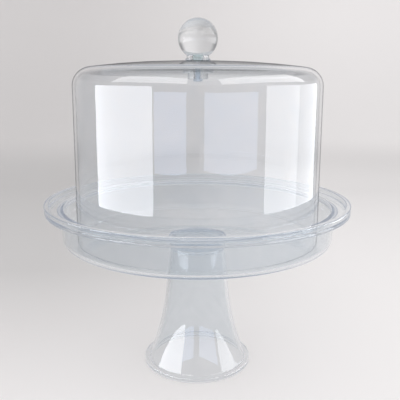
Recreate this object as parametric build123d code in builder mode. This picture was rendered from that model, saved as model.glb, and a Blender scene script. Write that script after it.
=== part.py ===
from build123d import *
from math import cos, radians, tan
import os

# Clear moulded cake stand: a hollow pedestal, a tray with a deep round well, and a dome that
# stands in the well and is lifted by a ball knob. Sizes are in millimetres. The origin is at
# the middle of the foot's underside, and +Z is up.

# Pedestal
pedestal_height = 136.0     # top of the neck, which carries the tray's floor
foot_radius = 56.5
foot_thickness = 5.0
foot_edge_round = 1.5
foot_fillet = 2.0
foot_flange = 5.0           # how far the foot stands out from the bell
cone_end_radius = 33.6      # outside of the pedestal where the straight cone starts to flare
cone_end_height = 73.0
shoulder_radius = 27.6      # outside of the pedestal just under the tray's collar
shoulder_step = 1.6         # how far the neck is drawn in from the shoulder
neck_edge_round = 0.6
neck_cap = 3.0              # the disc that closes the neck
pedestal_wall = 3.0

# Tray
tray_radius = 152.5
rim_height = 5.5            # how far the upright rim stands above the flange
rim_wall = 4.5              # thickness of the upright rim
rim_edge_round = 0.7
rim_corner = 1.0            # inside round between the upright rim and the flange
rim_width = 18.45           # from the outside of the rim to the mouth of the well
flange_thickness = 3.0
flange_edge_round = 1.2     # outer round under the flange
flange_fillet = 4.0         # round under the flange, where the well's wall leaves it
mouth_round = 1.2           # round where the flange turns down into the well
well_depth = 38.5           # from the top of the rim to the floor
well_wall = 3.0
well_draft = 1.5            # degrees
well_corner = 5.0           # inside round between the floor and the wall of the well
floor_thickness = 3.0
collar_height = 10.0
collar_wall = 2.9
collar_clearance = 0.3      # radial gap between the neck and the collar
collar_gap = 0.5            # gap between the end of the collar and the pedestal's shoulder
collar_edge_round = 0.8

# Dome
dome_margin = 11.5          # between the dome's open end and the wall of the well, at the floor
dome_height = 174.0
dome_draft = 0.23           # degrees
dome_wall = 2.8
dome_crown = 8.0            # rise of the top from its shoulder to its flat seat
dome_shoulder = 18.0
dome_seat_margin = 2.0      # how far the flat middle of the top reaches past the washer
dome_lip_round = 0.8

# Knob
ball_radius = 19.3
ball_lift = 1.4             # gap that would be under the ball if the foot weren't there
knob_foot_radius = 12.2
knob_foot_thickness = 2.0
knob_foot_round = 0.7
waist_step = 1.2            # how far the waist is drawn in from the foot
waist_fillet = 1.5

# Threaded insert that is pressed into the knob
insert_radius = 5.2
insert_length = 8.0
insert_chamfer = 0.4
groove_width = 1.4
groove_depth = 0.5
insert_clearance = 0.05

# Screw, and the clear parts that it clamps to the top of the dome
screw_radius = 2.5
screw_tip_gap = 0.6         # from the tip of the screw to the end of the insert
screw_chamfer = 0.4
screw_clearance = 0.25      # radial, in the plain holes
thread_clearance = 0.05     # radial, in the insert
head_radius = 4.6
head_height = 3.3
head_round = 1.2
recess_width = 1.1
recess_span = 5.0
recess_depth = 1.6
gasket_inset = 0.2          # the gasket is this much smaller than the knob's foot
gasket_thickness = 0.8
washer_radius = 15.0
washer_thickness = 2.6
washer_round = 0.5
sleeve_radius = 10.0
sleeve_length = 9.0
sleeve_round = 0.8

# Heights and radii that follow from the sizes above
neck_base = pedestal_height - collar_height - collar_gap
floor_level = pedestal_height + floor_thickness
rim_level = floor_level + well_depth
flange_level = rim_level - rim_height
flange_underside = flange_level - flange_thickness
rim_inside = tray_radius - rim_wall
dome_top = floor_level + dome_height
well_radius = tray_radius - rim_width - (flange_level - floor_level) * tan(radians(well_draft))
dome_radius = well_radius - dome_margin
dome_seat_radius = washer_radius + dome_seat_margin
bell_radius = foot_radius - foot_flange
neck_radius = shoulder_radius - shoulder_step
waist_radius = knob_foot_radius - waist_step
ball_height = ball_radius + ball_lift
knob_base = dome_top + gasket_thickness
washer_base = dome_top - dome_wall - washer_thickness
sleeve_base = washer_base - sleeve_length
hole_radius = screw_radius + screw_clearance


def inward(tangent, distance):
    """The step from an outline into the wall, square to a tangent that runs down it."""
    return Vector(tangent.Y, -tangent.X) * distance


def ring_edges(part, radius, height):
    """The circular edges of a turned part that have one radius and lie at one height."""
    circles = part.edges().filter_by(GeomType.CIRCLE)
    near = 0.01
    return circles.filter_by(
        lambda edge: abs(edge.radius - radius) < near and abs(edge.arc_center.Z - height) < near
    )


def well_inside(height):
    """Inside radius of the drafted well at one height."""
    return well_radius + (height - floor_level) * tan(radians(well_draft))


def well_outside(height):
    """Outside radius of the drafted well at one height."""
    return well_inside(height) + well_wall / cos(radians(well_draft))


# The pedestal is turned as a solid trumpet, and its hollow is an even wall inside it.
with BuildPart() as pedestal:
    with BuildSketch(Plane.XZ):
        with BuildLine():
            neck = Polyline(
                (0, pedestal_height),
                (neck_radius, pedestal_height),
                (neck_radius, neck_base),
                (shoulder_radius, neck_base),
            )
            cone = Line(neck @ 1, (cone_end_radius, cone_end_height))
            flare = TangentArc(cone @ 1, (bell_radius, foot_thickness), tangent=cone % 1)
            Polyline(
                flare @ 1,
                (foot_radius, foot_thickness),
                (foot_radius, 0),
                (0, 0),
                (0, pedestal_height),
            )
        make_face()
    revolve(axis=Axis.Z)
    fillet(ring_edges(pedestal, bell_radius, foot_thickness), radius=foot_fillet)
    fillet(ring_edges(pedestal, foot_radius, foot_thickness), radius=foot_edge_round)
    fillet(ring_edges(pedestal, foot_radius, 0), radius=foot_edge_round)
    fillet(ring_edges(pedestal, neck_radius, pedestal_height), radius=neck_edge_round)

    inner_top = cone @ 0 + inward(cone % 0, pedestal_wall) + (cone % 0) * pedestal_wall
    inner_cone_end = cone @ 1 + inward(cone % 1, pedestal_wall)
    inner_flare_end = flare @ 1 + inward(flare % 1, pedestal_wall)
    mouth_step = inner_flare_end.Y / -(flare % 1).Y
    inner_neck_radius = neck_radius - pedestal_wall
    inner_neck_height = pedestal_height - neck_cap
    with BuildSketch(Plane.XZ):
        with BuildLine():
            Polyline(
                (0, inner_neck_height),
                (inner_neck_radius, inner_neck_height),
                (inner_neck_radius, inner_top.Y),
                inner_top,
                inner_cone_end,
            )
            inner_flare = TangentArc(inner_cone_end, inner_flare_end, tangent=cone % 1)
            Polyline(
                inner_flare @ 1,
                inner_flare_end + (flare % 1) * mouth_step,
                (0, 0),
                (0, inner_neck_height),
            )
        make_face()
    revolve(axis=Axis.Z, mode=Mode.SUBTRACT)

# The tray is turned in one piece: an upright rim, a flat flange, a drafted well and a flat
# floor. The collar under the floor drops over the pedestal's neck.
with BuildPart() as tray:
    with BuildSketch(Plane.XZ):
        with BuildLine():
            Polyline(
                (0, pedestal_height),
                (well_outside(pedestal_height), pedestal_height),
                (well_outside(flange_underside), flange_underside),
                (tray_radius, flange_underside),
                (tray_radius, rim_level),
                (rim_inside, rim_level),
                (rim_inside, flange_level),
                (well_inside(flange_level), flange_level),
                (well_radius, floor_level),
                (0, floor_level),
                close=True,
            )
        make_face()
    revolve(axis=Axis.Z)
    fillet(ring_edges(tray, well_radius, floor_level), radius=well_corner)
    fillet(
        ring_edges(tray, well_outside(pedestal_height), pedestal_height),
        radius=well_corner + well_wall,
    )
    fillet(ring_edges(tray, well_outside(flange_underside), flange_underside), radius=flange_fillet)
    fillet(ring_edges(tray, tray_radius, flange_underside), radius=flange_edge_round)
    fillet(ring_edges(tray, rim_inside, flange_level), radius=rim_corner)
    fillet(ring_edges(tray, well_inside(flange_level), flange_level), radius=mouth_round)
    fillet(
        ring_edges(tray, tray_radius, rim_level) + ring_edges(tray, rim_inside, rim_level),
        radius=rim_edge_round,
    )
    collar_inside = neck_radius + collar_clearance
    collar_outside = collar_inside + collar_wall
    with BuildSketch(Plane.XY.offset(pedestal_height)):
        Circle(collar_outside)
        Circle(collar_inside, mode=Mode.SUBTRACT)
    extrude(amount=-collar_height)
    collar_end = pedestal_height - collar_height
    fillet(
        ring_edges(tray, collar_outside, collar_end) + ring_edges(tray, collar_inside, collar_end),
        radius=collar_edge_round,
    )

# The dome is a thin even shell, open below. Its crown is an arc that starts level at the flat
# seat of the knob.
with BuildPart() as dome:
    shoulder_height = dome_top - dome_crown
    shoulder_reach = dome_radius - (shoulder_height - floor_level) * tan(radians(dome_draft))
    with BuildSketch(Plane.XZ):
        with BuildLine():
            seat = Line((0, dome_top), (dome_seat_radius, dome_top))
            crown = TangentArc(seat @ 1, (shoulder_reach, shoulder_height), tangent=seat % 1)
            Polyline(crown @ 1, (dome_radius, floor_level), (0, floor_level), (0, dome_top))
        make_face()
    revolve(axis=Axis.Z)
    fillet(ring_edges(dome, shoulder_reach, shoulder_height), radius=dome_shoulder)
    offset(amount=-dome_wall, openings=dome.faces().sort_by(Axis.Z)[0])
    with BuildSketch(Plane.XY.offset(dome_top)):
        Circle(hole_radius)
    extrude(amount=-dome_wall, mode=Mode.SUBTRACT)
    lip = dome.faces().sort_by(Axis.Z)[0]
    fillet(lip.edges(), radius=dome_lip_round)

# The knob is a solid ball that grows out of a short waisted foot.
with BuildPart() as knob:
    with BuildSketch(Plane.XY.offset(knob_base)):
        Circle(knob_foot_radius)
    extrude(amount=knob_foot_thickness)
    with BuildSketch(Plane.XY.offset(knob_base)):
        Circle(waist_radius)
    extrude(amount=ball_height)
    with Locations((0, 0, knob_base + ball_height)):
        Sphere(ball_radius)
    foot_top = knob_base + knob_foot_thickness
    ball_rise = (ball_radius**2 - waist_radius**2) ** 0.5
    waist_top = knob_base + ball_height - ball_rise
    fillet(ring_edges(knob, waist_radius, waist_top), radius=waist_fillet)
    fillet(
        ring_edges(knob, knob_foot_radius, foot_top) + ring_edges(knob, knob_foot_radius, knob_base),
        radius=knob_foot_round,
    )
    with BuildSketch(Plane.XY.offset(knob_base)):
        Circle(insert_radius + insert_clearance)
    extrude(amount=insert_length, mode=Mode.SUBTRACT)

# The insert has a groove round its middle that keys it to the knob.
with BuildPart() as knob_insert:
    with BuildSketch(Plane.XY.offset(knob_base)):
        Circle(insert_radius)
        Circle(screw_radius + thread_clearance, mode=Mode.SUBTRACT)
    extrude(amount=insert_length)
    chamfer(ring_edges(knob_insert, insert_radius, knob_base), length=insert_chamfer)
    chamfer(ring_edges(knob_insert, insert_radius, knob_base + insert_length), length=insert_chamfer)
    groove_base = knob_base + (insert_length - groove_width) / 2
    with BuildSketch(Plane.XY.offset(groove_base)):
        Circle(insert_radius)
        Circle(insert_radius - groove_depth, mode=Mode.SUBTRACT)
    extrude(amount=groove_width, mode=Mode.SUBTRACT)

# The screw comes up from inside the dome. Its pan head has a cross recess.
with BuildPart() as knob_screw:
    screw_tip = knob_base + insert_length - screw_tip_gap
    with BuildSketch(Plane.XY.offset(sleeve_base)):
        Circle(head_radius)
    extrude(amount=-head_height)
    fillet(ring_edges(knob_screw, head_radius, sleeve_base - head_height), radius=head_round)
    with BuildSketch(Plane.XY.offset(sleeve_base)):
        Circle(screw_radius)
    extrude(amount=screw_tip - sleeve_base)
    chamfer(ring_edges(knob_screw, screw_radius, screw_tip), length=screw_chamfer)
    with BuildSketch(Plane.XY.offset(sleeve_base - head_height)):
        Rectangle(recess_span, recess_width)
        Rectangle(recess_width, recess_span)
    extrude(amount=recess_depth, mode=Mode.SUBTRACT)

# A soft clear gasket keeps the knob off the hard top of the dome.
with BuildPart() as knob_gasket:
    with BuildSketch(Plane.XY.offset(dome_top)):
        Circle(knob_foot_radius - gasket_inset)
        Circle(hole_radius, mode=Mode.SUBTRACT)
    extrude(amount=gasket_thickness)

# A wide clear washer spreads the clamp load under the top of the dome.
with BuildPart() as top_washer:
    with BuildSketch(Plane.XY.offset(washer_base)):
        Circle(washer_radius)
        Circle(hole_radius, mode=Mode.SUBTRACT)
    extrude(amount=washer_thickness)
    fillet(ring_edges(top_washer, washer_radius, washer_base), radius=washer_round)

# A clear barrel hides the shank of the screw between the washer and the screw's head.
with BuildPart() as screw_sleeve:
    with BuildSketch(Plane.XY.offset(sleeve_base)):
        Circle(sleeve_radius)
        Circle(hole_radius, mode=Mode.SUBTRACT)
    extrude(amount=sleeve_length)
    fillet(ring_edges(screw_sleeve, sleeve_radius, sleeve_base), radius=sleeve_round)

pedestal.part.label = "pedestal"
tray.part.label = "tray"
dome.part.label = "dome"
knob.part.label = "knob"
knob_insert.part.label = "knob_insert"
knob_screw.part.label = "knob_screw"
knob_gasket.part.label = "knob_gasket"
top_washer.part.label = "top_washer"
screw_sleeve.part.label = "screw_sleeve"

os.makedirs("parts", exist_ok=True)
export_step(pedestal.part, "parts/pedestal.step")
export_step(tray.part, "parts/tray.step")
export_step(dome.part, "parts/dome.step")
export_step(knob.part, "parts/knob.step")
export_step(knob_insert.part, "parts/knob_insert.step")
export_step(knob_screw.part, "parts/knob_screw.step")
export_step(knob_gasket.part, "parts/knob_gasket.step")
export_step(top_washer.part, "parts/top_washer.step")
export_step(screw_sleeve.part, "parts/screw_sleeve.step")

for piece in (pedestal, tray, dome, knob, knob_insert, knob_screw, knob_gasket, top_washer, screw_sleeve):
    box = piece.part.bounding_box()
    print(piece.part.label, f"{piece.part.volume:.0f} mm3", f"z {box.min.Z:.1f} to {box.max.Z:.1f}")
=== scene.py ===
# %% [markdown]
# # A clear cake stand with a dome
#
# The stand is three clear mouldings that lift apart: a hollow pedestal, a tray with an upright
# rim and a deep round well, and a dome that stands in the well and is lifted by a ball knob.
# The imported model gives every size. It is loaded first, and nothing here moves it.
# A clear object shows only what it bends and mirrors, so most of the work is in smooth walls of
# the true thickness and in what stands round the object in the room.

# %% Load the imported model
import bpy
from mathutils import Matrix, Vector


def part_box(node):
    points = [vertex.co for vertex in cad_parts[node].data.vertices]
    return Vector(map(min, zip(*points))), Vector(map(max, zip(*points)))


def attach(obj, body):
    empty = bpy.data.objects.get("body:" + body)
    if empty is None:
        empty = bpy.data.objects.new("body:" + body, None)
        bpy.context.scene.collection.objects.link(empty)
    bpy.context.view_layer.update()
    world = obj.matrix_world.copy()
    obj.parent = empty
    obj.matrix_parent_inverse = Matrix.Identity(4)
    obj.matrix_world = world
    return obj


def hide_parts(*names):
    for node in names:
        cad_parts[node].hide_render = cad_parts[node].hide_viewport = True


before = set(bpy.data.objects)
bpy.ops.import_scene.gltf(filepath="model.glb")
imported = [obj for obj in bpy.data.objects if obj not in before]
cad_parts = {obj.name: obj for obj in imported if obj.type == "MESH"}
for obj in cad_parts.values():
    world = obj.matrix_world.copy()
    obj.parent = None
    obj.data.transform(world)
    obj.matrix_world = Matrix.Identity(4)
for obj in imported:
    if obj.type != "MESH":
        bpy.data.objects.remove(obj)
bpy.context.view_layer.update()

# %% [markdown]
# ## Units and colours
# The sizes of the stand are easier to read in millimetres, and Blender works in metres, so one
# factor turns the one into the other. A colour is easier to read as the sRGB hex value that a
# paint or photo tool shows, and a shader wants linear light, so one function converts it.

# %% Units and colours
import math

import bmesh
import bpy
from mathutils import Matrix, Vector

MM = 0.001


def linear(hex_colour):
    """The linear RGBA of an sRGB hex colour."""
    channels = [int(hex_colour[i : i + 2], 16) / 255 for i in (1, 3, 5)]
    return [c / 12.92 if c < 0.04045 else ((c + 0.055) / 1.055) ** 2.4 for c in channels] + [1.0]


print("mid grey in linear light:", [round(c, 3) for c in linear("#808080")])

# %% [markdown]
# ## The camera
# The camera stands a little over half a metre from the stand and just under the top of the dome,
# and looks down by twelve degrees. It was solved from the widths of the rim, dome and foot and
# from how open each of their ellipses is. The picture is square, so the sensor's width is set
# and the lens follows from the focal length in pixels.

# %% The camera
picture_pixels = 400
focal_pixels = 557.4
sensor_width = 36
eye = (0.0025, -0.560, 0.2944)
tilt_degrees = 12.07
roll_radians = 0.0035
camera_data = bpy.data.cameras.new("camera")
camera_data.sensor_fit = "HORIZONTAL"
camera_data.sensor_width = sensor_width
camera_data.lens = sensor_width * focal_pixels / picture_pixels
camera = bpy.data.objects.new("camera", camera_data)
bpy.context.scene.collection.objects.link(camera)
camera.matrix_world = (
    Matrix.Translation(eye)
    @ Matrix.Rotation(math.radians(90 - tilt_degrees), 4, "X")
    @ Matrix.Rotation(roll_radians, 4, "Z")
)
bpy.context.scene.camera = camera
bpy.context.scene.view_settings.view_transform = "Standard"
print("lens:", round(camera_data.lens, 2), "mm")

# %% [markdown]
# ## Turning a profile
# Every piece of the stand is round, as a lathe or a turned mould makes it. So each is drawn as
# half of its section, from corner to corner, and the spin operator turns that outline about the
# upright axis. Three small helpers draw the outline: one adds a straight run, one sweeps an arc
# by spinning a single vertex about a centre, and one rounds a corner with a vertex bevel. The
# bevel's offset is the distance from the corner to where the round starts, which follows from
# the radius and the angle of the corner.

# %% Helpers that draw an outline
def run_to(bm, last, radius, height):
    """A straight run from the last corner to a new one, in millimetres."""
    corner = bm.verts.new((radius * MM, 0, height * MM))
    if last:
        bm.edges.new((last, corner))
    return corner


def sweep(bm, last, centre, degrees, steps):
    """An arc from the last corner about a centre, clockwise where degrees is above zero."""
    made = bmesh.ops.spin(
        bm,
        geom=[last],
        cent=(centre[0] * MM, 0, centre[1] * MM),
        axis=(0, 1, 0),
        angle=math.radians(degrees),
        steps=steps,
    )
    return next(part for part in made["geom_last"] if isinstance(part, bmesh.types.BMVert))


def round_off(bm, rounds):
    """Rounds corners of an outline. rounds is a list of (corner, radius, segments)."""
    for corner, radius, segments in rounds:
        one, other = (edge.other_vert(corner).co - corner.co for edge in corner.link_edges)
        reach = radius * MM / math.tan(one.angle(other) / 2)
        bmesh.ops.bevel(
            bm,
            geom=[corner],
            offset=reach,
            offset_type="OFFSET",
            segments=segments,
            profile=0.5,
            affect="VERTICES",
            material=-1,
        )


# %% [markdown]
# After the spin, the points on the axis lie on top of each other, so they are merged, and only
# then are the faces turned outwards. Light that passes through a wall follows the shading
# normals, so a flat wall must not borrow the tilt of the small round beside it. The Weighted
# Normal modifier gives each vertex the normal of its largest face, and keeps true edges sharp.

# %% Turn an outline into a piece
def spin_round(bm, steps):
    """Spins an outline once round the upright axis, and turns its faces outwards."""
    bmesh.ops.spin(
        bm,
        geom=bm.verts[:] + bm.edges[:],
        cent=(0, 0, 0),
        axis=(0, 0, 1),
        angle=math.tau,
        steps=steps,
        use_merge=True,
    )
    bmesh.ops.remove_doubles(bm, verts=bm.verts[:], dist=1e-6)
    bmesh.ops.recalc_face_normals(bm, faces=bm.faces[:])


def to_scene(name, bm):
    """Ends a bmesh and puts it in the scene as an object."""
    mesh = bpy.data.meshes.new(name)
    bm.to_mesh(mesh)
    bm.free()
    made = bpy.data.objects.new(name, mesh)
    bpy.context.scene.collection.objects.link(made)
    return made


sharp_degrees = 35


def turned(name, bm, body, node, steps=224):
    """Spins an outline about Z and makes it the piece that stands for a CAD node."""
    spin_round(bm, steps)
    piece = to_scene(name, bm)
    piece.data.shade_smooth()
    piece.data.set_sharp_from_angle(angle=math.radians(sharp_degrees))
    weights = piece.modifiers.new("weighted normals", "WEIGHTED_NORMAL")
    weights.keep_sharp = True
    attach(piece, body)
    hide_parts(node)
    top = round(max(vertex.co.z for vertex in piece.data.vertices), 5)
    solid_top = round(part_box(node)[1].z, 5)
    print(name, "faces:", len(piece.data.polygons), "top:", top, "solid's top:", solid_top)
    return piece


# %% [markdown]
# ## The pedestal
# The pedestal is a hollow trumpet with an even wall, moulded in one with a flat foot. Its neck
# is closed by a disc and stepped in, so that the tray's collar drops over it. The flare is an
# arc that leaves the straight cone in line with it, so its centre lies square to the cone's end.
# The inside is the same arc about the same centre, one wall thickness further out. Where two
# clear pieces would touch, one stops a twentieth of a millimetre short, the seat, because two
# clear faces in one plane confuse a ray.

# %% The flare of the pedestal
def tangent_centre(start, direction, end):
    """The centre and radius of the arc that leaves start along direction and reaches end."""
    start, end, along = Vector(start), Vector(end), Vector(direction).normalized()
    square = Vector((-along.y, along.x))
    chord = end - start
    radius = chord.length_squared / (2 * chord.dot(square))
    return start + square * radius, radius


def arc_angle(start, end, centre):
    """The clockwise angle in degrees from start to end about a centre."""
    one, other = Vector(start) - Vector(centre), Vector(end) - Vector(centre)
    return math.degrees(math.atan2(other.x * one.y - other.y * one.x, one.dot(other)))


seat, wall = 0.05, 3.0
neck_radius, neck_base, neck_top = 26, 125.5, 136
foot_radius, foot_height = 56.5, 5
cone_top, cone_end = Vector((27.6, neck_base)), Vector((33.6, 73.0))
bell_end = Vector((51.5, foot_height))
down = (cone_end - cone_top).normalized()
into_wall = Vector((down.y, -down.x)) * wall
flare_centre, flare_radius = tangent_centre(cone_end, down, bell_end)
flare_angle = arc_angle(cone_end, bell_end, flare_centre)
print("flare:", round(flare_radius, 1), "mm radius over", round(flare_angle, 2), "degrees")

# %% [markdown]
# The outline starts on the axis, on top of the neck's disc, goes down the outside to the foot
# and comes back up the inside. At the mouth, the inner wall runs straight on from the end of its
# arc to the surface that the stand rests on.

# %% The pedestal
flare_steps = 14
inner_end = bell_end + (bell_end - flare_centre).normalized() * wall
leaving = Vector((flare_centre.y - bell_end.y, bell_end.x - flare_centre.x)).normalized()
mouth_radius = inner_end.x + inner_end.y * leaving.x / -leaving.y
bm = bmesh.new()
point = run_to(bm, None, 0, neck_top - seat)
neck_edge = run_to(bm, point, neck_radius, neck_top - seat)
neck_foot = run_to(bm, neck_edge, neck_radius, neck_base)
shoulder = run_to(bm, neck_foot, *cone_top)
point = run_to(bm, shoulder, *cone_end)
bell = sweep(bm, point, flare_centre, flare_angle, flare_steps)
foot_top = run_to(bm, bell, foot_radius, foot_height)
foot_base = run_to(bm, foot_top, foot_radius, 0)
mouth = run_to(bm, foot_base, mouth_radius, 0)
point = run_to(bm, mouth, *inner_end)
point = sweep(bm, point, flare_centre, -flare_angle, flare_steps)
inner_shoulder = run_to(bm, point, *(cone_top + into_wall + down * wall))
inner_neck = run_to(bm, inner_shoulder, neck_radius - wall, inner_shoulder.co.z / MM)
inner_top = run_to(bm, inner_neck, neck_radius - wall, neck_top - wall)
run_to(bm, inner_top, 0, neck_top - wall)
round_off(bm, [
    (neck_edge, 0.6, 3), (neck_foot, 0.3, 2), (shoulder, 0.4, 3), (bell, 2, 4),
    (foot_top, 1.5, 5), (foot_base, 1.5, 5), (mouth, 0.5, 3), (inner_shoulder, 0.8, 3),
    (inner_neck, 0.5, 3), (inner_top, 0.6, 3),
])
pedestal = turned("pedestal_shell", bm, "pedestal", "pedestal")

# %% [markdown]
# ## The tray
# The tray is one moulding too: a thick upright rim round a flat flange, a drafted well, a flat
# floor and a collar under it. The rim is what the eye finds first, because light runs along
# inside the plastic and comes out there. Its edges are only just broken by the mould, and the
# corner of the well is a generous round that lets the plastic flow.

# %% The tray
floor_under, floor_top = neck_top, neck_top + wall
flange_under, flange_top, rim_top = 169, 172, 177.5
well_radius, rim_inside, rim_radius = 133.19, 148, 152.5
collar_inside, collar_outside, collar_base = 26.3, 29.2, 126
draft_degrees = 1.5
draft = math.tan(math.radians(draft_degrees))
outer_step = wall / math.cos(math.radians(draft_degrees))
under_well = well_radius - wall * draft + outer_step
under_mouth = well_radius + (flange_under - floor_top) * draft + outer_step
mouth_inside = well_radius + (flange_top - floor_top) * draft
bm = bmesh.new()
point = run_to(bm, None, 0, floor_under)
root = run_to(bm, point, collar_inside, floor_under)
collar_in = run_to(bm, root, collar_inside, collar_base)
collar_out = run_to(bm, collar_in, collar_outside, collar_base)
collar_top = run_to(bm, collar_out, collar_outside, floor_under)
well_base = run_to(bm, collar_top, under_well, floor_under)
under_flange = run_to(bm, well_base, under_mouth, flange_under)
rim_base = run_to(bm, under_flange, rim_radius, flange_under)
rim_out = run_to(bm, rim_base, rim_radius, rim_top)
rim_in = run_to(bm, rim_out, rim_inside, rim_top)
rim_foot = run_to(bm, rim_in, rim_inside, flange_top)
well_mouth = run_to(bm, rim_foot, mouth_inside, flange_top)
well_corner = run_to(bm, well_mouth, well_radius, floor_top)
run_to(bm, well_corner, 0, floor_top)
round_off(bm, [
    (root, 0.3, 2), (collar_in, 0.8, 4), (collar_out, 0.8, 4), (collar_top, 0.5, 3),
    (well_base, 8, 10), (under_flange, 4, 8), (rim_base, 1.2, 5), (rim_out, 0.7, 4),
    (rim_in, 0.7, 4), (rim_foot, 1, 4), (well_mouth, 1.2, 5), (well_corner, 5, 9),
])
tray = turned("tray_shell", bm, "tray", "tray", steps=256)

# %% [markdown]
# ## The dome
# The dome is a thin even shell with a flat seat for the knob, a crown that falls away in a
# shallow arc, and a round shoulder. The crown's arc leaves the flat seat level, so its centre is
# straight below the edge of the seat, and the inside is the same arc one shell further in. The
# wall leans in by a quarter of a degree, which is all the taper that the mould needs. Its lip
# stands on the floor of the well.

# %% The crown of the dome
shell, dome_radius = 2.8, 121.69
dome_top, crown_edge = 313, 305
pad_radius = 17
lean = math.tan(math.radians(0.23))
edge_radius = dome_radius - (crown_edge - floor_top) * lean
_, signed_radius = tangent_centre((pad_radius, dome_top), (1, 0), (edge_radius, crown_edge))
crown_radius = abs(signed_radius)
crown_centre = Vector((pad_radius, dome_top - crown_radius))
reach = math.asin((edge_radius - pad_radius) / crown_radius)
inner_radius = crown_radius - shell
inner_reach = math.asin((edge_radius - shell - pad_radius) / inner_radius)
print("crown:", round(crown_radius), "mm radius over", round(math.degrees(reach), 2), "degrees")

# %% The dome
dome_under = dome_top - shell
hole_radius = 2.75
shoulder_radius = 18
crown_steps = 5
inner_edge = (
    pad_radius + math.sin(inner_reach) * inner_radius,
    crown_centre.y + math.cos(inner_reach) * inner_radius,
)
bm = bmesh.new()
hole_top = run_to(bm, None, hole_radius, dome_top)
point = run_to(bm, hole_top, pad_radius, dome_top)
outer_shoulder = sweep(bm, point, crown_centre, math.degrees(reach), crown_steps)
lip_out = run_to(bm, outer_shoulder, dome_radius, floor_top + seat)
lip_in = run_to(bm, lip_out, dome_radius - shell, floor_top + seat)
inner_shoulder = run_to(bm, lip_in, *inner_edge)
point = sweep(bm, inner_shoulder, crown_centre, -math.degrees(inner_reach), crown_steps)
hole_base = run_to(bm, point, hole_radius, dome_under)
bm.edges.new((hole_base, hole_top))
round_off(bm, [
    (outer_shoulder, shoulder_radius, 14), (inner_shoulder, shoulder_radius - shell, 14),
    (lip_out, 0.8, 4), (lip_in, 0.8, 4),
])
dome = turned("dome_shell", bm, "dome", "dome", steps=256)

# %% [markdown]
# ## The knob
# The knob is one solid piece of clear plastic: a ball on a short waisted foot, with a blind bore
# below for a metal insert. A solid clear ball is a strong lens. It turns the room upside down,
# and it magnifies the insert, so the ball's centre and the bore's depth both matter.

# %% The knob
ball_centre, ball_radius, waist_radius = (0, 334.5), 19.3, 11.0
gasket_top, waist_foot, knob_foot_radius = 313.8, 315.8, 12.2
bore_radius, bore_top = 5.25, 321.8
ball_degrees = 180 - math.degrees(math.asin(waist_radius / ball_radius))
bm = bmesh.new()
crown = run_to(bm, None, 0, ball_centre[1] + ball_radius)
waist_top = sweep(bm, crown, ball_centre, ball_degrees, 60)
waist_base = run_to(bm, waist_top, waist_radius, waist_foot)
foot_edge = run_to(bm, waist_base, knob_foot_radius, waist_foot)
foot_under = run_to(bm, foot_edge, knob_foot_radius, gasket_top + seat)
bore_mouth = run_to(bm, foot_under, bore_radius, gasket_top + seat)
bore_end = run_to(bm, bore_mouth, bore_radius, bore_top)
run_to(bm, bore_end, 0, bore_top)
round_off(bm, [
    (waist_top, 0.5, 3), (waist_base, 0.3, 2), (foot_edge, 0.7, 4), (foot_under, 0.7, 4),
    (bore_end, 0.3, 2),
])
knob = turned("ball_knob", bm, "dome", "knob", steps=128)

# %% [markdown]
# ## The clear rings under the knob
# A soft gasket keeps the knob off the dome, a wide washer spreads the clamp load under it, and a
# barrel hides the screw's shank. Each is a ring with the hole of the dome through it, and a
# closed outline off the axis turns into one.

# %% The gasket, washer and barrel
def ring(name, node, outer, base, top, edge_round):
    """A clear ring on the dome's body, its lower outer edge rounded."""
    bm = bmesh.new()
    first = run_to(bm, None, hole_radius, top)
    point = run_to(bm, first, outer, top)
    edge = run_to(bm, point, outer, base)
    last = run_to(bm, edge, hole_radius, base)
    bm.edges.new((last, first))
    round_off(bm, [(edge, edge_round, 4), (point, 0.2, 2)])
    return turned(name, bm, "dome", node, steps=96)


washer_base, barrel_base = 307.6, 298.6
gasket = ring("soft_gasket", "knob_gasket", 12, dome_top + seat, gasket_top, 0.2)
washer = ring("wide_washer", "top_washer", 15, washer_base, dome_under - seat, 0.5)
barrel = ring("screw_barrel", "screw_sleeve", 10, barrel_base, washer_base - seat, 0.8)

# %% [markdown]
# ## The insert
# The metal insert is a knurled bush with a plain groove round its middle, which keys it into the
# knob. The knurl could be a bump, but its silhouette shows through the ball. So the bush is
# turned with few steps, and every facet of its two bands is inset and sunk, which leaves a
# raised net round them.

# %% The insert
bush_bore, groove_radius, chamfer_radius, bush_radius = 2.55, 4.7, 4.8, 5.2
net_width, net_depth = 0.12, 0.16
corners = [
    (chamfer_radius, gasket_top), (bush_radius, 314.2), (bush_radius, 315.65), (bush_radius, 317.1),
    (groove_radius, 317.1), (groove_radius, 318.5), (bush_radius, 318.5), (bush_radius, 319.95),
    (bush_radius, 321.4), (chamfer_radius, 321.75), (bush_bore, 321.75),
]
bm = bmesh.new()
first = run_to(bm, None, bush_bore, gasket_top)
point = first
for radius, height in corners:
    point = run_to(bm, point, radius, height)
bm.edges.new((point, first))
bush = turned("knurled_insert", bm, "dome", "knob_insert", steps=44)
bm = bmesh.new()
bm.from_mesh(bush.data)
bands = [
    face for face in bm.faces
    if abs(face.normal.z) < 0.1 and math.hypot(*face.calc_center_median().xy) > (bush_radius - 0.1) * MM
]
bmesh.ops.inset_individual(bm, faces=bands, thickness=net_width * MM, depth=-net_depth * MM)
bm.to_mesh(bush.data)
bm.free()
print("knurled facets:", len(bands))

# %% [markdown]
# ## The screw's thread
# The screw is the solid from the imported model, with its pan head and cross recess. Its thread is
# too fine for the solids. A small triangle is swept up the shank here by a spin that also climbs
# one pitch in each turn, which is how a lathe cuts a thread.

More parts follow.
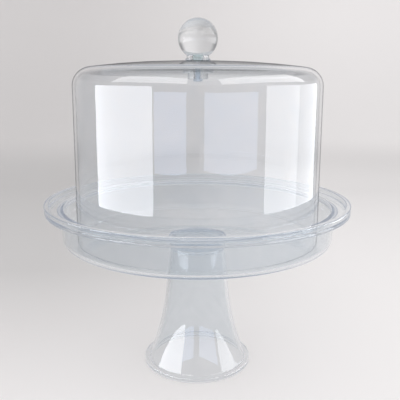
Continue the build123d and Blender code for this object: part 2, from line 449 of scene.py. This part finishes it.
# %% The screw's thread
pitch, turns, steps_per_turn = 0.8, 18, 32
root_radius, crest_radius, thread_base = 2.42, 2.68, 298.7
bm = bmesh.new()
low = bm.verts.new((root_radius * MM, 0, thread_base * MM))
tip = bm.verts.new((crest_radius * MM, 0, (thread_base + pitch / 3) * MM))
high = bm.verts.new((root_radius * MM, 0, (thread_base + 2 * pitch / 3) * MM))
section = [bm.edges.new((low, tip)), bm.edges.new((tip, high)), bm.edges.new((high, low))]
bm.faces.new((low, tip, high))
made = bmesh.ops.spin(
    bm,
    geom=[low, tip, high, *section],
    cent=(0, 0, 0),
    axis=(0, 0, 1),
    dvec=(0, 0, pitch * MM / steps_per_turn),
    angle=math.tau * turns,
    steps=steps_per_turn * turns,
)
bm.faces.new([part for part in made["geom_last"] if isinstance(part, bmesh.types.BMVert)])
bmesh.ops.recalc_face_normals(bm, faces=bm.faces[:])
thread = to_scene("screw_thread", bm)
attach(thread, "dome")
print("thread faces:", len(thread.data.polygons))

# %% [markdown]
# ## Building materials
# One small function adds a node with its settings and its links, so that each material below
# reads as a short recipe from the pattern to the surface.

# %% Node helper
def add(tree, kind, settings=(), links=()):
    """Adds a node. settings are (name, value) pairs and links are (input, output) pairs."""
    node = tree.nodes.new(kind)
    for name, value in settings:
        if isinstance(name, int) or name in node.inputs:
            node.inputs[name].default_value = value
        else:
            setattr(node, name, value)
    for name, output in links:
        tree.links.new(output, node.inputs[name])
    return node


def new_material(name):
    """An empty material and its node tree."""
    material = bpy.data.materials.new(name)
    material.use_nodes = True
    material.node_tree.nodes.clear()
    return material, material.node_tree


# %% [markdown]
# ## Clear moulded plastic
# Acrylic (PMMA) is injected into a polished steel mould. It bends light at an index of 1.49, and
# a wall sends back about a twenty-fifth of the light at each face. It isn't perfect glass: the
# mould and the cooling leave broad waves of a few centimetres that make a mirrored window wobble,
# and wiping leaves a faint haze in smears about as wide as a finger.

# %% The face of clear plastic
smear_mm = 28
smear_starts, smear_full = 0.42, 0.72


def polished_face(tree, index, wave_mm, wave_height_mm, haze, tint, mirror):
    """A face that bends light at index and is tinted between the two colours of tint.

    Waves are wave_mm across, haze is the lowest and highest roughness, and mirror dims what the
    face sends straight back.
    """
    place = add(tree, "ShaderNodeTexCoord").outputs["Object"]
    waves = add(tree, "ShaderNodeTexNoise",
                [("Scale", 1000 / wave_mm), ("Detail", 1.5), ("Roughness", 0.4)],
                [("Vector", place)])
    smears = add(tree, "ShaderNodeTexNoise",
                 [("Scale", 1000 / smear_mm), ("Detail", 5), ("Distortion", 1.4)],
                 [("Vector", place)])
    rough = add(tree, "ShaderNodeMapRange",
                [("From Min", smear_starts), ("From Max", smear_full),
                 ("To Min", haze[0]), ("To Max", haze[1])],
                [("Value", smears.outputs["Fac"])])
    shade = add(tree, "ShaderNodeMix",
                [("data_type", "RGBA"), (6, linear(tint[0])), (7, linear(tint[1]))],
                [("Factor", smears.outputs["Fac"])])
    bump = add(tree, "ShaderNodeBump", [("Strength", 1.0), ("Distance", wave_height_mm * MM)],
               [("Height", waves.outputs["Fac"])])
    face = add(tree, "ShaderNodeBsdfPrincipled",
               [("IOR", index), ("Transmission Weight", 1.0), ("Specular Tint", linear(mirror))],
               [("Base Color", shade.outputs[2]), ("Roughness", rough.outputs["Result"]),
                ("Normal", bump.outputs["Normal"])])
    return face.outputs[0]


# %% [markdown]
# Light from the lamps would stop at clear plastic unless the renderer traced it through, so a
# lamp's rays pass as if through a thin film, which dims them more at the grazing edges. The same
# film takes over at the outline, where a thin wall is seen almost edge-on: the grey there is
# painted shade, which stands in for the grey that such a wall shows.

# %% The film and the painted grey outline
# film_grazing is the painted grey of the outline, and it also dims a lamp's ray at a grazing edge.
film_facing, film_grazing = "#fafbfc", "#80868e"
outline_starts = 0.85


def film_and_painted_outline(tree, edge):
    """A film that only dims light, and its share, which rises to edge at the outline, where its grey is
    painted shade.
    """
    grazing = add(tree, "ShaderNodeLayerWeight", [("Blend", 0.5)])
    passed = add(tree, "ShaderNodeMix",
                 [("data_type", "RGBA"), (6, linear(film_facing)), (7, linear(film_grazing))],
                 [("Factor", grazing.outputs["Facing"])])
    film = add(tree, "ShaderNodeBsdfTransparent", [], [("Color", passed.outputs[2])])
    # Near the outline the film's share rises to edge, and there its grey is painted shade.
    outline = add(tree, "ShaderNodeMapRange",
                  [("From Min", outline_starts), ("From Max", 1.0), ("To Max", edge)],
                  [("Value", grazing.outputs["Facing"])])
    path = add(tree, "ShaderNodeLightPath")
    lamp_ray = add(tree, "ShaderNodeMath", [("operation", "MAXIMUM")],
                   [(0, path.outputs["Is Shadow Ray"]), (1, path.outputs["Is Diffuse Ray"])])
    share = add(tree, "ShaderNodeMath", [("operation", "MAXIMUM")],
                [(0, lamp_ray.outputs[0]), (1, outline.outputs["Result"])])
    return film.outputs[0], share.outputs[0]


# %% [markdown]
# Some rays are caught inside a wall and run along it from edge to edge. In the real stand that
# light comes in at one edge and out at another, and is about as pale as the room. A ray that
# has met more than ten faces is given that shade, where the renderer would give it up as black.
# A thick edge looks a little blue, because the plastic takes slightly more red than blue from
# light that runs far through it, and the absorption inside the walls gives that.

# %% Clear plastic
faces_met = 10.5
caught_shade = "#bcc3ce"


def clear_plastic(name, index, wave_mm, wave_height_mm, haze, tint, deep_tint, density, edge, mirror):
    """Clear plastic. Light that goes deep turns to deep_tint, the sooner the higher density is."""
    material, tree = new_material(name)
    face = polished_face(tree, index, wave_mm, wave_height_mm, haze, tint, mirror)
    film, film_share = film_and_painted_outline(tree, edge)
    path = add(tree, "ShaderNodeLightPath")
    caught = add(tree, "ShaderNodeMath", [("operation", "GREATER_THAN"), (1, faces_met)],
                 [(0, path.outputs["Ray Depth"])])
    edge_light = add(tree, "ShaderNodeEmission", [("Color", linear(caught_shade)), ("Strength", 1.0)])
    inside = add(tree, "ShaderNodeMixShader", [],
                 [(0, caught.outputs[0]), (1, face), (2, edge_light.outputs[0])])
    mix = add(tree, "ShaderNodeMixShader", [], [(0, film_share), (1, inside.outputs[0]), (2, film)])
    deep = add(tree, "ShaderNodeVolumeAbsorption", [("Color", linear(deep_tint)), ("Density", density)])
    add(tree, "ShaderNodeOutputMaterial", [], [("Surface", mix.outputs[0]), ("Volume", deep.outputs[0])])
    return material


# %% [markdown]
# ## The five clear plastics
# The pedestal and the tray are the same moulded acrylic. The dome is acrylic in a thin wall, and
# its grey outline, painted shade from the film, is most of what the eye has of it. The ball is
# cast in a smoother mould and polished, so its waves are lower, and it is clearer right through.
# The washer and barrel are polycarbonate, which is tougher, bends light more and shines more.
# The gasket is soft vinyl, whose matt skin blurs what lies behind it. Each edge value is how much
# of that painted grey a plastic's outline gets.

# %% The five clear plastics
moulded_acrylic = clear_plastic(
    "moulded_acrylic", index=1.49, wave_mm=45, wave_height_mm=0.035, haze=(0.0, 0.02),
    tint=("#eff3f5", "#f8fafc"), deep_tint="#b4c2d2", density=8.0, edge=0.0, mirror="#ffffff",
)
thin_acrylic = clear_plastic(
    "thin_moulded_acrylic", index=1.49, wave_mm=45, wave_height_mm=0.035, haze=(0.0, 0.02),
    tint=("#f6f9fc", "#ffffff"), deep_tint="#868b91", density=9.0, edge=0.9, mirror="#ffffff",
)
acrylic_ball = clear_plastic(
    "cast_acrylic_ball", index=1.49, wave_mm=30, wave_height_mm=0.008, haze=(0.0, 0.01),
    tint=("#fafcfd", "#ffffff"), deep_tint="#d6dce0", density=6.0, edge=0.6, mirror="#8c8c8c",
)
clear_polycarbonate = clear_plastic(
    "clear_polycarbonate", index=1.585, wave_mm=20, wave_height_mm=0.01, haze=(0.01, 0.05),
    tint=("#fbfdfe", "#ffffff"), deep_tint="#d2dade", density=6.0, edge=0.2, mirror="#ffffff",
)
soft_vinyl = clear_plastic(
    "soft_clear_vinyl", index=1.53, wave_mm=12, wave_height_mm=0.02, haze=(0.10, 0.22),
    tint=("#f6f8fa", "#ffffff"), deep_tint="#d2dade", density=6.0, edge=0.2, mirror="#ffffff",
)
for piece, material in [(pedestal, moulded_acrylic), (tray, moulded_acrylic), (dome, thin_acrylic),
                        (knob, acrylic_ball), (washer, clear_polycarbonate),
                        (barrel, clear_polycarbonate), (gasket, soft_vinyl)]:
    piece.data.materials.append(material)
    print(piece.name, "is", material.name)

# %% [markdown]
# ## Plated metal
# The screw is steel under a bright zinc plate, a little blue, and the insert has a duller nickel
# plate. Neither is ever quite even. The plate is a soft mirror whose roughness and colour change
# in grains of about half a millimetre, and the thread and knurl break up what it mirrors.

# %% Plated metal
grain_height_mm = 0.01


def plated_metal(name, pale, dull, roughness, grain_mm):
    """Plated metal in two shades, with a fine uneven polish."""
    material, tree = new_material(name)
    place = add(tree, "ShaderNodeTexCoord").outputs["Object"]
    grain = add(tree, "ShaderNodeTexNoise", [("Scale", 1000 / grain_mm), ("Detail", 3)],
                [("Vector", place)])
    colour = add(tree, "ShaderNodeMix",
                 [("data_type", "RGBA"), (6, linear(dull)), (7, linear(pale))],
                 [("Factor", grain.outputs["Fac"])])
    rough = add(tree, "ShaderNodeMapRange", [("To Min", roughness[0]), ("To Max", roughness[1])],
                [("Value", grain.outputs["Fac"])])
    bump = add(tree, "ShaderNodeBump", [("Strength", 0.4), ("Distance", grain_height_mm * MM)],
               [("Height", grain.outputs["Fac"])])
    metal = add(tree, "ShaderNodeBsdfPrincipled", [("Metallic", 1.0)],
                [("Base Color", colour.outputs[2]), ("Roughness", rough.outputs["Result"]),
                 ("Normal", bump.outputs["Normal"])])
    add(tree, "ShaderNodeOutputMaterial", [], [("Surface", metal.outputs[0])])
    return material


zinc_plate = plated_metal("zinc_plated_steel", "#eceff2", "#c6ccd3", (0.32, 0.5), 0.6)
nickel_plate = plated_metal("nickel_plated_insert", "#e9eeec", "#c4cecb", (0.4, 0.6), 0.5)
thread.data.materials.append(zinc_plate)
bush.data.materials.append(nickel_plate)
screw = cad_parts["knob_screw"]
screw.data.materials.clear()
screw.data.materials.append(zinc_plate)
print("metal materials:", zinc_plate.name, nickel_plate.name)

# %% [markdown]
# ## The floor and the wall behind
# The stand is on a seamless pale sheet that curves up into a wall, as in a product photograph.
# It goes all the way round, so that the clear walls have something pale to show from any side.
# The outline is a flat run, a quarter circle and a straight wall, turned like the pieces, and
# its faces are then turned inwards, to the stand.

# %% The cove
floor_radius, curve_radius, wall_top = 2400, 800, 2600
curve_steps, round_steps = 16, 96
bm = bmesh.new()
point = run_to(bm, None, 0, 0)
point = run_to(bm, point, floor_radius, 0)
point = sweep(bm, point, (floor_radius, curve_radius), -90, curve_steps)
run_to(bm, point, floor_radius + curve_radius, wall_top)
spin_round(bm, round_steps)
bmesh.ops.reverse_faces(bm, faces=bm.faces[:])
cove = to_scene("cove", bm)
cove.data.shade_smooth()
print("cove faces:", len(cove.data.polygons))

# %% [markdown]
# ## The paper's tones
# Clear plastic has no outline in a room that is equally bright all round, so the paper's tone
# follows the place of each point on it. A few nodes measure that place: how far from the stand it
# is, how far back, and at what bearing, from behind the stand over the left, the camera's side
# and the right to behind it again.

# %% Where a point of the paper is
def spread(tree, value, low, high, smooth=True):
    """0 where value is low and 1 where it is high."""
    kind = "SMOOTHSTEP" if smooth else "LINEAR"
    return add(tree, "ShaderNodeMapRange",
               [("interpolation_type", kind), ("From Min", low), ("From Max", high)],
               [("Value", value)]).outputs["Result"]


paper, tree = new_material("matt_white_paper")
place = add(tree, "ShaderNodeTexCoord").outputs["Object"]
split = add(tree, "ShaderNodeSeparateXYZ", [], [("Vector", place)])
across, back, up = split.outputs["X"], split.outputs["Y"], split.outputs["Z"]
flat = add(tree, "ShaderNodeVectorMath", [("operation", "MULTIPLY"), (1, (1, 1, 0))], [(0, place)])
radius = add(tree, "ShaderNodeVectorMath", [("operation", "LENGTH")], [(0, flat.outputs[0])])
toward = add(tree, "ShaderNodeMath", [("operation", "MULTIPLY"), (1, -1.0)], [(0, back)])
bearing = add(tree, "ShaderNodeMath", [("operation", "ARCTAN2")],
              [(0, across), (1, toward.outputs[0])])
turn = spread(tree, bearing.outputs[0], -math.pi, math.pi, smooth=False)

# %% [markdown]
# The floor is paler to the right, where more light comes in, and grows darker towards the back.
# Two ramps give its left and its right from front to back, and it goes over from the one to the
# other under the stand.

# %% The floor's tones
def ramp(tree, stops, value):
    """A colour ramp whose stops are (place, hex colour) pairs."""
    node = add(tree, "ShaderNodeValToRGB", [], [(0, value)])
    node.color_ramp.interpolation = "LINEAR"
    while len(node.color_ramp.elements) < len(stops):
        node.color_ramp.elements.new(0.5)
    for element, (place, colour) in zip(node.color_ramp.elements, stops):
        element.position, element.color = place, linear(colour)
    return node.outputs["Color"]


left_stops = [(0.0, "#f3f0f0"), (0.09, "#d9d6d6"), (0.18, "#bfbdbd"), (0.5, "#afadad")]
right_stops = [(0.0, "#fefbfb"), (0.1, "#f9f6f6"), (0.3, "#edeaea"), (0.5, "#dcd9d9")]
depth = spread(tree, back, -0.1, 2.0, smooth=False)
floor = add(tree, "ShaderNodeMix", [("data_type", "RGBA")],
            [("Factor", spread(tree, across, -0.28, 0.28)), (6, ramp(tree, left_stops, depth)),
             (7, ramp(tree, right_stops, depth))])

# %% [markdown]
# The wall has a ramp by bearing: pale behind the stand, grey at its sides and darkest behind the
# camera. A second ramp darkens the sides again high up, for the dome's round shoulder to mirror.
# Right behind the stand, two pale tones take over, and the foot of the wall is a little darker.

# %% The wall's tones
low_stops = [
    (0.0, "#bcbaba"), (0.09, "#bcbaba"), (0.13, "#85878a"), (0.22, "#85878a"), (0.27, "#9c9fa2"),
    (0.455, "#9c9fa3"), (0.48, "#6e7175"), (0.51, "#6e7175"), (0.53, "#9c9fa3"),
    (0.645, "#aeb0b3"), (0.86, "#a4a6a9"), (0.915, "#d8d5d5"), (1.0, "#d8d5d5"),
]
high_stops = [
    (0.0, "#ffffff"), (0.09, "#ffffff"), (0.15, "#666a6e"), (0.34, "#666a6e"), (0.42, "#ffffff"),
    (0.58, "#ffffff"), (0.66, "#666a6e"), (0.85, "#666a6e"), (0.91, "#ffffff"), (1.0, "#ffffff"),
]
behind = add(tree, "ShaderNodeMix",
             [("data_type", "RGBA"), (6, linear("#cdcaca")), (7, linear("#f1eeee"))],
             [("Factor", spread(tree, across, -1.0, 1.0))])
around = add(tree, "ShaderNodeMix", [("data_type", "RGBA")],
             [("Factor", spread(tree, back, 1.2, 2.4)), (6, ramp(tree, low_stops, turn)),
              (7, behind.outputs[2])])
lift = ramp(tree, [(0.0, "#f3f3f3"), (1.0, "#ffffff")], spread(tree, up, 0.0, 0.8))
lifted = add(tree, "ShaderNodeMix",
             [("data_type", "RGBA"), ("blend_type", "MULTIPLY"), ("Factor", 1.0)],
             [(6, around.outputs[2]), (7, lift)])
wall_tone = add(tree, "ShaderNodeMix", [("data_type", "RGBA"), ("blend_type", "MULTIPLY")],
                [("Factor", spread(tree, up, 0.8, 1.3)), (6, lifted.outputs[2]),
                 (7, ramp(tree, high_stops, turn))])
tone = add(tree, "ShaderNodeMix", [("data_type", "RGBA")],
           [("Factor", spread(tree, radius.outputs["Value"], 1.1, 1.9)), (6, floor.outputs[2]),
            (7, wall_tone.outputs[2])])

# %% [markdown]
# ## Paper that is seen and paper that gives light
# What the camera sees, and what a mirror or a clear wall shows, is the paper at its tone, with a
# share of real light on it that keeps the stand's shadow. For the light that the paper sends on
# to matt surfaces it is plain matt white. The Light Path node tells the two apart.

# %% The paper's surface
def looked_at(tree):
    """1 for what the camera, a mirror or clear plastic shows, and 0 for light on its way."""
    path = add(tree, "ShaderNodeLightPath")
    mirrored = add(tree, "ShaderNodeMath", [("operation", "MAXIMUM")],
                   [(0, path.outputs["Is Camera Ray"]), (1, path.outputs["Is Glossy Ray"])])
    shown = add(tree, "ShaderNodeMath", [("operation", "MAXIMUM")],
                [(0, mirrored.outputs[0]), (1, path.outputs["Is Transmission Ray"])])
    return shown.outputs[0]


real_light = 0.3
glow = add(tree, "ShaderNodeEmission", [("Strength", 1.0)], [("Color", tone.outputs[2])])
matt = add(tree, "ShaderNodeBsdfDiffuse", [("Color", linear("#f2f0f0"))])
lit = add(tree, "ShaderNodeMixShader", [(0, real_light)], [(1, glow.outputs[0]), (2, matt.outputs[0])])
choice = add(tree, "ShaderNodeMixShader", [],
             [(0, looked_at(tree)), (1, matt.outputs[0]), (2, lit.outputs[0])])
add(tree, "ShaderNodeOutputMaterial", [], [("Surface", choice.outputs[0])])
cove.data.materials.append(paper)
print("paper nodes:", len(tree.nodes))

# %% [markdown]
# ## The windows
# A row of windows and doors stands round the room, from the left of the camera to well round on
# the right. What makes the dome visible is their image in its wall: a broad white patch on the
# left, a narrow bluish one, a dark gap where the camera stands, a bluish panel right of the
# middle, and another broad white patch on the right. Each is an area lamp that stands on the
# floor and faces the stand. The place of a patch on the dome gives the lamp's angle about the
# stand. The lamps show in what mirrors them and leave the floor to the ceiling's light, because
# a lamp that stands on a floor draws a hard edge there. Two fanlights above them brighten the
# round shoulder.

# %% The windows
def window(name, start, end, distance, base, top, brightness, colour):
    """A lamp from one angle to another about the stand, 0 towards the camera and 90 to its right."""
    middle, half = math.radians((start + end) / 2), math.radians((end - start) / 2)
    lamp = bpy.data.lights.new(name, "AREA")
    lamp.shape = "RECTANGLE"
    lamp.size, lamp.size_y = 2 * distance * math.tan(half), top - base
    lamp.energy = brightness * lamp.size * lamp.size_y * math.pi
    lamp.color = linear(colour)[:3]
    holder = bpy.data.objects.new(name, lamp)
    bpy.context.scene.collection.objects.link(holder)
    where = Vector((math.sin(middle) * distance, -math.cos(middle) * distance, (base + top) / 2))
    towards = Vector((-where.x, -where.y, 0))
    facing = towards.to_track_quat("-Z", "Y").to_matrix().to_4x4()
    holder.matrix_world = Matrix.Translation(where) @ facing
    holder.visible_camera = False
    holder.visible_transmission = False
    holder.visible_diffuse = False
    print(name, "size:", round(lamp.size, 2), "x", round(lamp.size_y, 2), "m")


# name, first and last angle in degrees, distance, base and top in metres, brightness, colour
panes = [
    ("window_left", -94, -36, 0.8, 0.0, 0.36, 7.6, "#f6f9ff"),
    ("door_left", -36, -9, 1.5, 0.0, 0.27, 3.6, "#c6d8fb"),
    ("door_right", 5.5, 51, 1.5, 0.0, 0.27, 3.2, "#ccdcfb"),
    ("window_right", 56.5, 93, 0.8, 0.0, 0.40, 5.0, "#f8fbff"),
    ("window_far_right", 93, 124, 0.8, 0.0, 0.40, 3.0, "#f8fbff"),
    ("fanlight_left", -80, -9, 1.6, 0.9, 2.2, 4.5, "#ffffff"),
    ("fanlight_right", 20, 110, 1.6, 0.9, 2.2, 4.5, "#ffffff"),
]
for pane in panes:
    window(*pane)

# %% [markdown]
# ## The room's light
# The ceiling is a plain white. It gives the floor its even light. Where the clear walls mirror
# it, or let it through, it is a pale grey, which keeps them from looking flat.

# %% The ceiling
world = bpy.data.worlds.new("ceiling")
bpy.context.scene.world = world
world.use_nodes = True
tree = world.node_tree
tree.nodes.clear()
place = add(tree, "ShaderNodeTexCoord").outputs["Generated"]
height = add(tree, "ShaderNodeSeparateXYZ", [], [("Vector", place)])
sight_stops = [
    (0.0, "#d9d8d8"), (0.45, "#dcdbdb"), (0.6, "#c4c6c9"), (0.75, "#c4c6c9"), (0.82, "#d6d7d8"),
    (1.0, "#d6d6d6"),
]
sight_tone = ramp(tree, sight_stops, height.outputs["Z"])
light = add(tree, "ShaderNodeBackground", [("Color", linear("#ffffff")), ("Strength", 1.0)])
sight = add(tree, "ShaderNodeBackground", [("Strength", 1.0)], [("Color", sight_tone)])
choice = add(tree, "ShaderNodeMixShader", [],
             [(0, looked_at(tree)), (1, light.outputs[0]), (2, sight.outputs[0])])
add(tree, "ShaderNodeOutputWorld", [], [("Surface", choice.outputs[0])])
print("ceiling nodes:", len(tree.nodes))

# %% [markdown]
# ## How far light is followed
# A ray through the whole stand meets many faces, where Blender by itself follows it to twelve.
# Past that it would turn black, so more are allowed.

# %% Light paths
cycles = bpy.context.scene.cycles
cycles.max_bounces = 24
cycles.transmission_bounces = 24
cycles.glossy_bounces = 16
cycles.transparent_max_bounces = 32
print("light paths:", cycles.max_bounces, "bounces")
